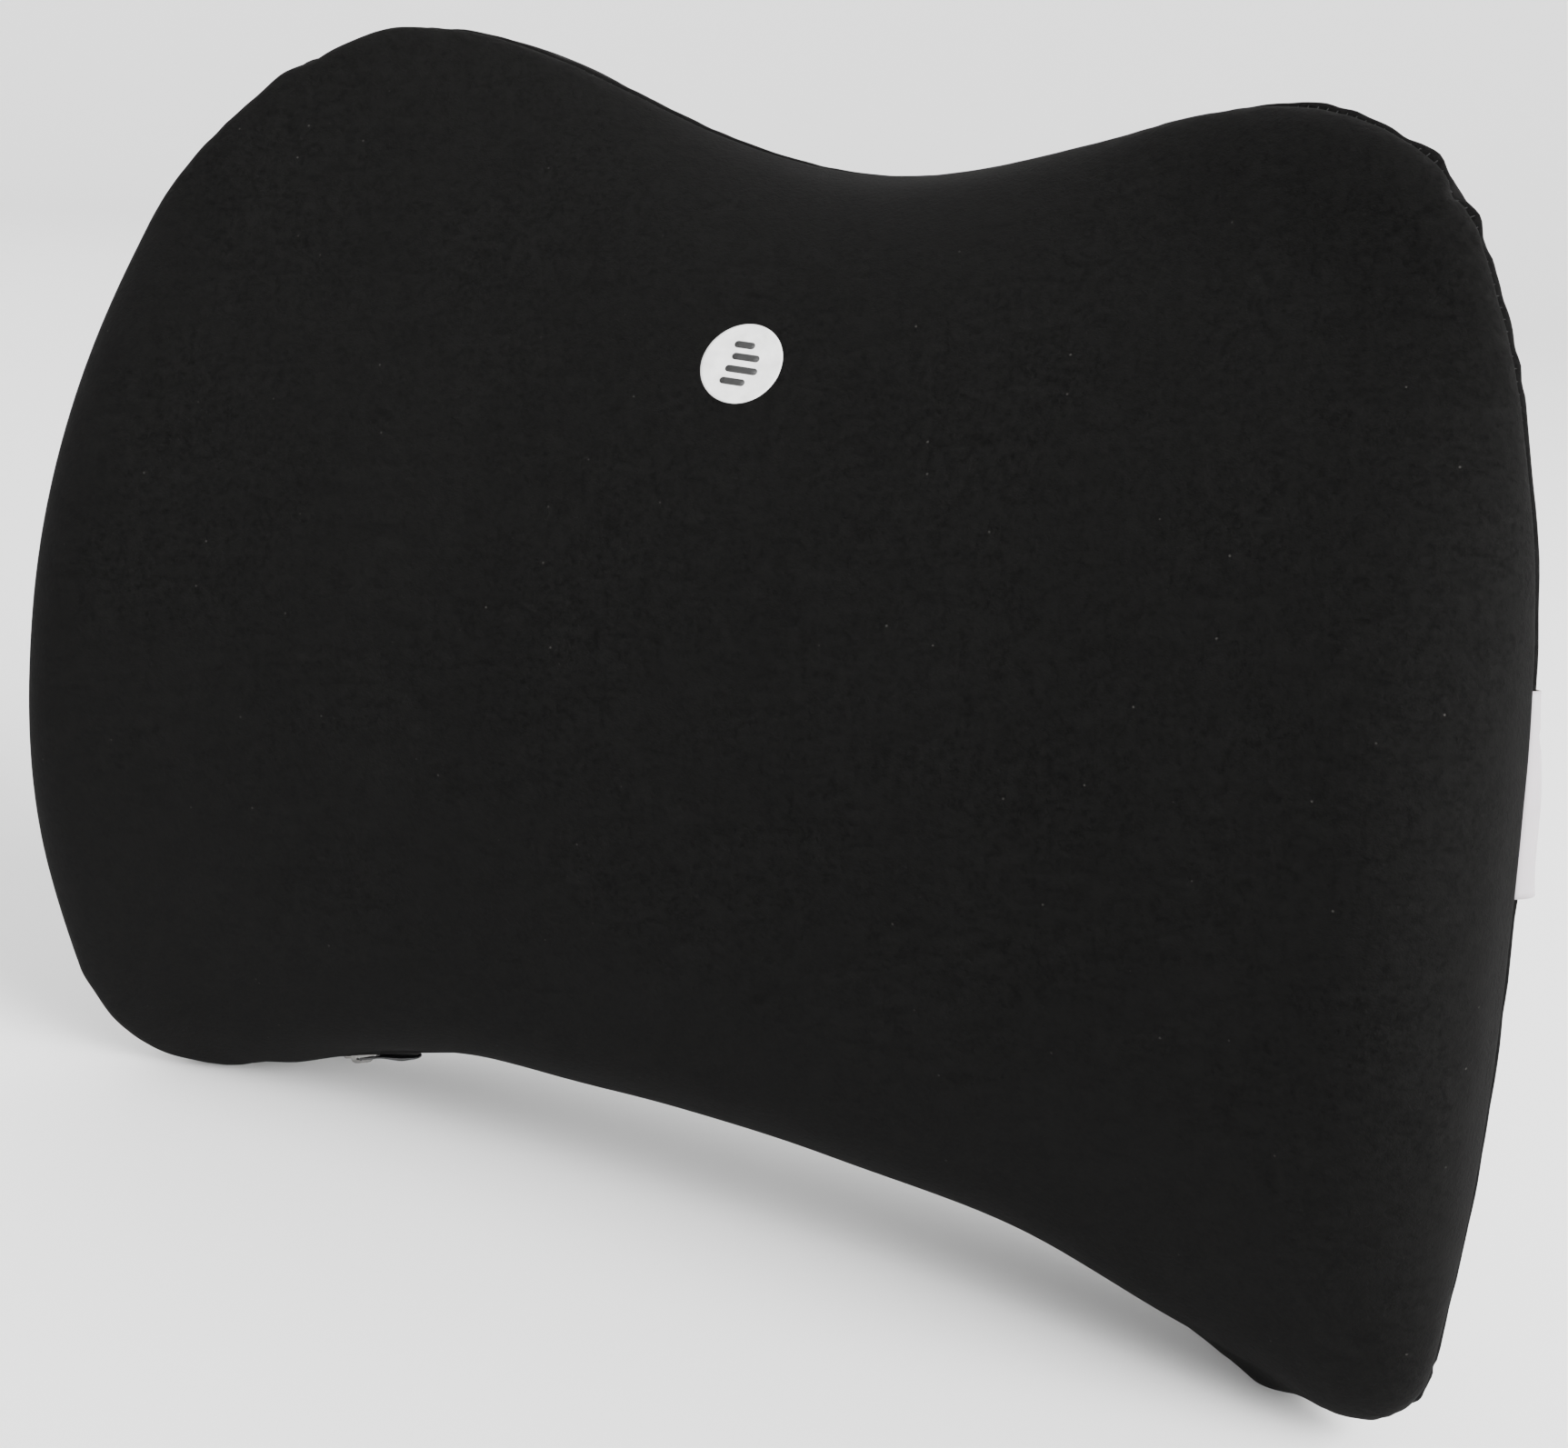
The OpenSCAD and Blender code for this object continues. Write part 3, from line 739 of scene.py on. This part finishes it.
def seam_stitches():
    """Short threads across the seam, a little proud of the groove's floor."""
    n = front_grid.count
    seam = covers["front"][:n]
    up, down = covers["front"][2 * n:3 * n], covers["back"][2 * n:3 * n]
    step = np.linalg.norm(np.roll(seam, -1, 0) - seam, axis=1)
    place = np.concatenate([[0], np.cumsum(step)])
    total = place[-1]

    def on(ring, where):
        closed = np.vstack([ring, ring[:1]])
        return np.array([np.interp(where % total, place, closed[:, i]) for i in range(3)])

    parts = []
    for k in range(int(total / 2.6)):
        at = (k + 0.5) * total / int(total / 2.6)
        slant = at + 0.7
        a, b, c = on(up, at), on(seam, 0.5 * (at + slant)), on(down, slant)
        if abs(zip_place(b)[0]) < ZIP_HALF + 1.5 and b[2] < -95:
            continue
        t = np.linspace(0, 1, 6)[:, None]
        path = (1 - t) ** 2 * a + 2 * t * (1 - t) * (b + 0.35 * (0.5 * (a + c) - b)) + t * t * c
        parts.append(tube(path, 0.13 * np.sin(math.pi * (0.12 + 0.76 * t[:, 0])) ** 0.3, 6))
    return joined(parts)


thread = woven("seam_thread", (0.0022, 0.0022, 0.0022), 0.0004, 0.00004, 0.9)
verts, faces = seam_stitches()
stitches = mesh_object("seam_stitches", verts * MM, faces, thread)

# ---------------------------------------------------------------- foam core and inner case
def open_foam(name):
    """Pale memory foam with fine open cells."""
    m = Nodes(name)
    cell = m.cells(900)
    colour = m.mix(m.range(cell, 0.1, 0.6, 0.0, 1.0), (0.52, 0.44, 0.27), (0.80, 0.72, 0.50))
    return m.set(**{"Base Color": colour, "Roughness": 0.95, "Subsurface Weight": 0.1,
                    "Normal": m.bump(cell, 0.0005, 0.9)})


foam_finish = open_foam("foam_cells")
case_knit = woven("inner_case_knit", (0.74, 0.73, 0.70), 0.0009, 0.0001, 0.9, 0.3)
# Depth under the cover's outer face in mm, name, CAD nodes, material and slot
FILLING = ((4.4, "inner_case", ("liner_front", "liner_back"), case_knit, "liner_knit"),
           (5.4, "foam_body", ("foam_core",), foam_finish, "foam"))
for depth, name, nodes, material, slot in FILLING:
    front, back = (Grid(side, depth, COARSE, [], 14, 10) for side in ("front", "back"))
    for grid in (front, back):
        grid.points = grid.points + standing_out(grid, resampled(COARSE))
    verts = np.vstack([front.verts(), back.verts()[front.count:]])
    faces = front.faces() + back.faces(start=len(front.verts()), shared=np.arange(front.count))
    piece = mesh_object(name, verts * MM, faces, material)
    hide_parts(*nodes)

# ---------------------------------------------------------------- badge: a printed disc with a plain mark
front_tree = BVHTree.FromPolygons([Vector(v) for v in covers["front"]],
                                  [[int(i) for i in f] for f in front_grid.faces()])
BADGE_R, BADGE_Z, BAR_H = 10.0, 95.0, 1.7
DISC_LIFT, MARK_LIFT = 0.14, 0.19


def on_face(x, z, above):
    """The face's surface at x, z, lifted along its normal, in mm."""
    hit, normal, _, _ = front_tree.ray_cast(Vector((x, -300, z)), Vector((0, 1, 0)))
    normal = normal if normal.y < 0 else -normal
    return np.array(hit + above * normal)


slope = on_face(0, BADGE_Z + 5, 0) - on_face(0, BADGE_Z - 5, 0)
RISE = slope[2] / np.linalg.norm(slope)


def printed(shape, height):
    """A print on the face: shape is rings of (across, up) in its own plane, the last ring being the rim."""
    verts = [on_face(x, BADGE_Z + y * RISE, height) for ring in shape for x, y in ring]
    verts += [on_face(x * 1.004, BADGE_Z + y * 1.004 * RISE, -0.05) for x, y in shape[-1]]
    count = len(shape[0])
    return np.array(verts), ring_quads(len(shape) + 1, count) + [tuple(range(count))[::-1]]


turn = 2 * math.pi * np.arange(96) / 96
disc = [np.stack([r * np.cos(turn), r * np.sin(turn)], 1) for r in (0.5, 2, 4, 6, 8, 9.4, BADGE_R)]
verts, faces = printed(disc, DISC_LIFT)
white_ink = hard("badge_ink_white", (0.80, 0.80, 0.79), 0.55, 1800)
badge = mesh_object("badge_disc", verts * MM, faces, white_ink)
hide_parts("badge_print")


def bar(x, y, length, height):
    """A bar with round ends, as two rings."""
    r = height / 2
    t = np.linspace(-math.pi / 2, math.pi / 2, 9)
    right = np.stack([length / 2 - r + r * np.cos(t), r * np.sin(t)], 1)
    top = np.stack([np.linspace(length / 2 - r, r - length / 2, 9)[1:-1], np.full(7, r)], 1)
    rim = np.vstack([right, top, -right, -top]) + [x, y]
    return [rim * 0.5 + np.array([x, y]) * 0.5, rim]


# The mark's four bars: across, up and length in mm
MARK = ((-0.7, 4.6, 5.2), (0.6, 1.6, 7.0), (0.5, -1.6, 8.2), (-0.8, -4.7, 6.4))
verts, faces = joined([printed(bar(x, y, length, BAR_H), MARK_LIFT) for x, y, length in MARK])
black_ink = hard("badge_ink_black", (0.012, 0.012, 0.012), 0.6, 1800)
mark = mesh_object("badge_mark", verts * MM, faces, black_ink)

# ---------------------------------------------------------------- care label, sewn into the side seam
LABEL_Z, LABEL_H, LABEL_W, LABEL_T = 12.0, 42.0, 25.0, 0.35


def care_label():
    """A folded satin ribbon that leaves the seam, bends back round the edge and hangs clear behind it."""
    seam = covers["front"][:front_grid.count]
    side = (fine_u > 2) & (fine_u < 3)
    order = np.argsort(seam[side][:, 2])
    known = seam[side][order]
    rows, flap = 29, 41
    z = np.linspace(LABEL_Z, LABEL_Z + LABEL_H, rows)
    root = np.stack([np.interp(z, known[:, 2], known[:, i]) for i in range(3)], 1)
    along = np.gradient(root, axis=0)
    along /= np.linalg.norm(along, axis=1, keepdims=True)
    back = np.array([0, 1.0, 0]) - along * along[:, 1:2]
    back /= np.linalg.norm(back, axis=1, keepdims=True)
    out = np.cross(along, back)
    out *= np.sign(out[:, :1])
    s = np.linspace(0, LABEL_W, flap)
    middle = np.zeros((rows, flap, 3))
    turned = np.zeros((rows, flap))
    for k in range(rows):
        top = k / (rows - 1)
        start, reach = 48 + 16 * top, 10.5 - 6.0 * top
        angle = start + (120 - 3 * top - start) * smoothstep((s - 1.9) / reach) \
            - 5 * smoothstep((s - 15) / 10)
        angle = np.radians(np.where(s < 1.9, start * (s / 1.9) ** 3, angle))
        step = s[1] - s[0]
        sideways, backward = (np.concatenate([[0], np.cumsum(0.5 * (f[1:] + f[:-1]))]) * step
                              for f in (np.cos(angle), np.sin(angle)))
        middle[k] = root[k] + sideways[:, None] * out[k] + backward[:, None] * back[k]
        turned[k] = angle
    face = np.cos(turned)[..., None] * back[:, None] - np.sin(turned)[..., None] * out[:, None]
    free = smoothstep(s / 8)[None]
    height = np.linspace(0, 1, rows)[:, None]
    ripple = 0.35 * free * np.sin(2 * math.pi * (1.3 * height + 0.012 * s[None])) \
        + 0.45 * free * np.exp(-((height - 0.71 - 0.012 * s[None]) / 0.035) ** 2)
    middle += ripple[..., None] * face
    sheets = [middle + 0.5 * LABEL_T * face, middle - 0.5 * LABEL_T * face]
    verts = np.vstack([a.reshape(-1, 3) for a in sheets])
    count, faces = rows * flap, []
    for k in range(rows - 1):
        for i in range(flap - 1):
            q = (k * flap + i, k * flap + i + 1, (k + 1) * flap + i + 1, (k + 1) * flap + i)
            faces += [q, tuple(count + v for v in q[::-1])]
    rim = list(range(flap)) + [k * flap + flap - 1 for k in range(1, rows)] \
        + [(rows - 1) * flap + i for i in range(flap - 2, -1, -1)] \
        + [k * flap for k in range(rows - 2, 0, -1)]
    faces += [(b, a, count + a, count + b) for a, b in zip(rim, rim[1:] + rim[:1])]
    return verts, faces


def satin(name, colour):
    """Ribbon satin: fine floats across the ribbon with a soft sheen along them."""
    m = Nodes(name)
    floats = m.noise(1500, 2, 0.5, m.stretched((1, 1, 0.06)))
    shade = m.mix(m.range(m.noise(90, 3), 0.3, 0.7, 0.0, 1.0), tuple(0.93 * c for c in colour), colour)
    return m.set(**{"Base Color": shade, "Roughness": m.range(floats, 0.3, 0.7, 0.42, 0.6),
                    "Normal": m.bump(floats, 0.00008, 0.6), "Sheen Weight": 0.1, "Subsurface Weight": 0.05})


verts, faces = care_label()
label = mesh_object("label_flap", verts * MM, faces, satin("label_ribbon", (0.41, 0.37, 0.385)))
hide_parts("care_label")

# ---------------------------------------------------------------- zip
def swept(profile, angles):
    """A closed profile of (u, v) points carried along the zip's arc."""
    profile = np.asarray(profile)
    rings = [zip_point(np.full(len(profile), a), profile[:, 0], profile[:, 1]) for a in angles]
    n = len(profile)
    faces = ring_quads(len(rings), n, flipped=True)
    faces += [tuple(range(n)), tuple(range((len(rings) - 1) * n, len(rings) * n))[::-1]]
    return np.vstack(rings), faces


def tape_profile(side):
    """Flat tape with a thin cord woven in near each edge, anticlockwise."""
    u = np.linspace(TAPE_GAP, TAPE_GAP + TAPE_W, 45)
    t = TAPE_T / 2
    thick = t * (0.72 + 0.28 * np.exp(-((u - 0.9) / 0.35) ** 2) + 0.28 * np.exp(-((u - 5.4) / 0.3) ** 2))
    thick *= np.minimum(1, np.minimum(u - TAPE_GAP, TAPE_GAP + TAPE_W - u) / 0.12 + 0.25)
    ring = np.vstack([np.stack([u, TAPE_TOP - t - thick], 1), np.stack([u, TAPE_TOP - t + thick], 1)[::-1]])
    return ring if side > 0 else (ring * [-1, 1])[::-1]


tape_finish = woven("zip_tape_weave", (0.0075, 0.0075, 0.0078), 0.0005, 0.00006, 0.8)
for side, name, node in ((1, "tape_front", "zip_tape_front"), (-1, "tape_rear", "zip_tape_rear")):
    verts, faces = swept(tape_profile(side), np.linspace(-1, 1, 161) * (ZIP_HALF + 0.8))
    piece = mesh_object(name, verts * MM, faces, tape_finish)
    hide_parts(node)

COIL_PITCH, COIL_TURNS, COIL_STEPS, COIL_WIRE = 1.3, 194, 12, 0.24
coil_finish = hard("zip_coil_nylon", (0.010, 0.010, 0.011), 0.36, 2500, coat=0.1, depth=0.00002)
for side, name, node in ((1, "coil_front", "zip_coil_front"), (-1, "coil_rear", "zip_coil_rear")):
    turns = np.arange(COIL_TURNS * COIL_STEPS + 1) / COIL_STEPS
    phase = 2 * math.pi * turns
    length = (turns + (0.25 if side > 0 else -0.25) - COIL_TURNS / 2) * COIL_PITCH
    path = zip_point(np.degrees(length / (ZIP_R + 1.0)), side * (0.93 - 0.85 * np.cos(phase)),
                     -1.65 + 0.54 * np.sin(phase))
    verts, faces = tube(path, COIL_WIRE, 6)
    piece = mesh_object(name, verts * MM, faces, coil_finish)
    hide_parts(node)


def at_zip(angle, local):
    """Points given as (along the zip, forward, outward) from its place at an angle, in mm."""
    a = math.radians(angle)
    along = math.cos(a) * np.array([1.0, 0, 0]) + math.sin(a) * ZIP_UP
    local = np.asarray(local, float)
    origin = zip_point(angle, 0, 0)
    forward, outward = zip_point(angle, 1, 0) - origin, zip_point(angle, 0, 1) - origin
    return origin + local[:, :1] * along + local[:, 1:2] * forward + local[:, 2:] * outward


def slab(rim, low, high, edge, order=(0, 1, 2)):
    """A plate with the given rim between two levels, its edges rounded off."""
    n = len(rim)
    solid = bmesh.new()
    bottom = [solid.verts.new((x, y, low)) for x, y in rim]
    top = [solid.verts.new((x, y, high)) for x, y in rim]
    solid.faces.new(bottom[::-1])
    solid.faces.new(top)
    for i in range(n):
        solid.faces.new((bottom[i], bottom[(i + 1) % n], top[(i + 1) % n], top[i]))
    bmesh.ops.bevel(solid, geom=solid.edges[:], offset=edge, segments=3, profile=0.5, affect="EDGES",
                    clamp_overlap=True)
    solid.verts.index_update()
    verts = np.array([v.co[:] for v in solid.verts])[:, order]
    faces = [tuple(v.index for v in f.verts) for f in solid.faces]
    solid.free()
    return verts, faces


def box_rim(x0, x1, y0, y1):
    """Corners of a rectangle, anticlockwise."""
    return [(x0, y0), (x1, y0), (x1, y1), (x0, y1)]


def crisp(obj, degrees=38):
    """Keeps edges sharper than an angle crisp under smooth shading."""
    obj.data.set_sharp_from_angle(angle=math.radians(degrees))
    return obj


metal = hard("zip_nickel", (0.27, 0.265, 0.255), 0.27, 3000, metallic=1.0, depth=0.00002)
for angle, name, node in ((STOP_ANGLE, "stop_end", "zip_end_stop"),
                          (-STOP_ANGLE, "stop_start", "zip_start_stop")):
    clip = [slab(box_rim(-0.8, 0.8, -2.05, 2.05), -1.2, -0.35, 0.28),
            slab(box_rim(-0.8, 0.8, 1.35, 2.1), -2.4, -0.6, 0.24),
            slab(box_rim(-0.8, 0.8, -2.1, -1.35), -2.4, -0.6, 0.24),
            slab(box_rim(-0.45, 0.45, -1.4, 1.4), -2.0, -1.0, 0.15)]
    verts, faces = joined(clip)
    piece = crisp(mesh_object(name, at_zip(angle, verts) * MM, faces, metal))
    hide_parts(node)

SLIDER_L, SLIDER_HALF = 9.0, 3.4


def slider_rim(shrink=0.0):
    """Outline of the slider's plates: widest in the middle, drawn in at both ends."""
    nose, tail = 0.72, 0.82
    x = np.linspace(-SLIDER_L / 2, SLIDER_L / 2, 13)
    half = SLIDER_HALF * np.where(x < 0, tail + (1 - tail) * smoothstep((x + SLIDER_L / 2) / 1.6),
                                  1 - (1 - nose) * np.maximum(x / (SLIDER_L / 2), 0) ** 1.6) - shrink
    x = x * (1 - 2 * shrink / SLIDER_L)
    return [(a, -h) for a, h in zip(x, half)] + [(a, h) for a, h in zip(x[::-1], half[::-1])]


# Side view of the slider's bridge: (along, outward) in mm
arch = [(-3.2, 1.1), (-3.2, 2.6), (-2.9, 3.3), (-2.2, 3.75), (-1.2, 3.8), (1.2, 3.8), (2.2, 3.75),
        (2.9, 3.3), (3.2, 2.6), (3.2, 1.1), (2.1, 1.1), (2.1, 2.5), (1.8, 2.95), (1.2, 3.1), (-1.2, 3.1),
        (-1.8, 2.95), (-2.1, 2.5), (-2.1, 1.1)]
parts = [slab(slider_rim(), 0.5, 1.3, 0.22), slab(slider_rim(), -3.8, -3.3, 0.14),
         slab(slider_rim(0.9), 1.2, 1.42, 0.08),
         slab(arch, -0.8, 0.8, 0.18, (0, 2, 1))]
for side in (-1, 1):
    flange = [(-3.9, 2.62), (0, 2.75), (4.1, 1.98), (4.3, 2.42), (0, 3.38), (-3.9, 3.2)]
    flange = flange if side > 0 else [(x, -y) for x, y in flange[::-1]]
    parts.append(slab(flange, -1.9, 0.7, 0.1))
verts, faces = joined(parts)
slider = crisp(mesh_object("slider_body", at_zip(SLIDER_ANGLE, verts) * MM, faces, metal, body="slider"))
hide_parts("zip_slider")

PIVOT_Z, PULL_L = 2.2, 17.0


def pull_tab():
    """The tab: a flat neck that thickens to a domed, round-ended tag."""
    x = 4.0 + (PULL_L - 4.0) * (1 - np.cos(math.pi * np.linspace(0, 1, 41))) / 2
    end = np.sqrt(np.clip(1 - (np.maximum(x - (PULL_L - 2.3), 0) / 2.3) ** 2, 0, 1))
    start = np.sqrt(np.clip(1 - (np.maximum(5.0 - x, 0) / 1.0) ** 2, 0, 1))
    half = 2.3 * end * (0.9 + 0.1 * start)
    thick = (0.46 + 0.30 * np.exp(-((x - 11.0) / 3.2) ** 2)) * np.sqrt(end) * np.sqrt(start)
    sides = 28
    turn = 2 * math.pi * np.arange(sides) / sides
    c, q = np.cos(turn), np.sin(turn)
    crank = 1.1 * smoothstep((x - 4.5) / 8)
    across, above = np.sign(c) * np.abs(c) ** 0.5, np.sign(q) * np.abs(q) ** 0.7
    rings = [np.stack([np.full(sides, a), h * across, z + t * above], 1)
             for a, h, t, z in zip(x[1:-1], half[1:-1], thick[1:-1], crank[1:-1])]
    n = len(rings)
    faces = ring_quads(n, sides)
    faces += [tuple(range(sides))[::-1], tuple(range((n - 1) * sides, n * sides))]
    return np.vstack(rings), faces


pull_finish = hard("pull_enamel", (0.009, 0.009, 0.010), 0.22, 1400, coat=0.6)
parts = [pull_tab(), tube([(0, y, 0) for y in np.linspace(-2.25, 2.25, 9)], 0.48, 14)]
# Each arm of the pull, from its pivot to the tab: (along, aside) in mm
ARM = ((-0.1, 1.75), (0.6, 1.78), (1.8, 1.78), (3.2, 1.76), (4.6, 1.62), (5.4, 1.4))
for side in (-1, 1):
    parts.append(tube([(x, side * y, 0) for x, y in ARM], 0.46, 12))
verts, faces = joined(parts)
verts = at_zip(SLIDER_ANGLE, verts + [0, 0, PIVOT_Z])
pull = crisp(mesh_object("pull_tab", verts * MM, faces, pull_finish, body="pull"), 60)
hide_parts("zip_pull")

low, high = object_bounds()
make_stage(float(low[2]) - 0.0003)
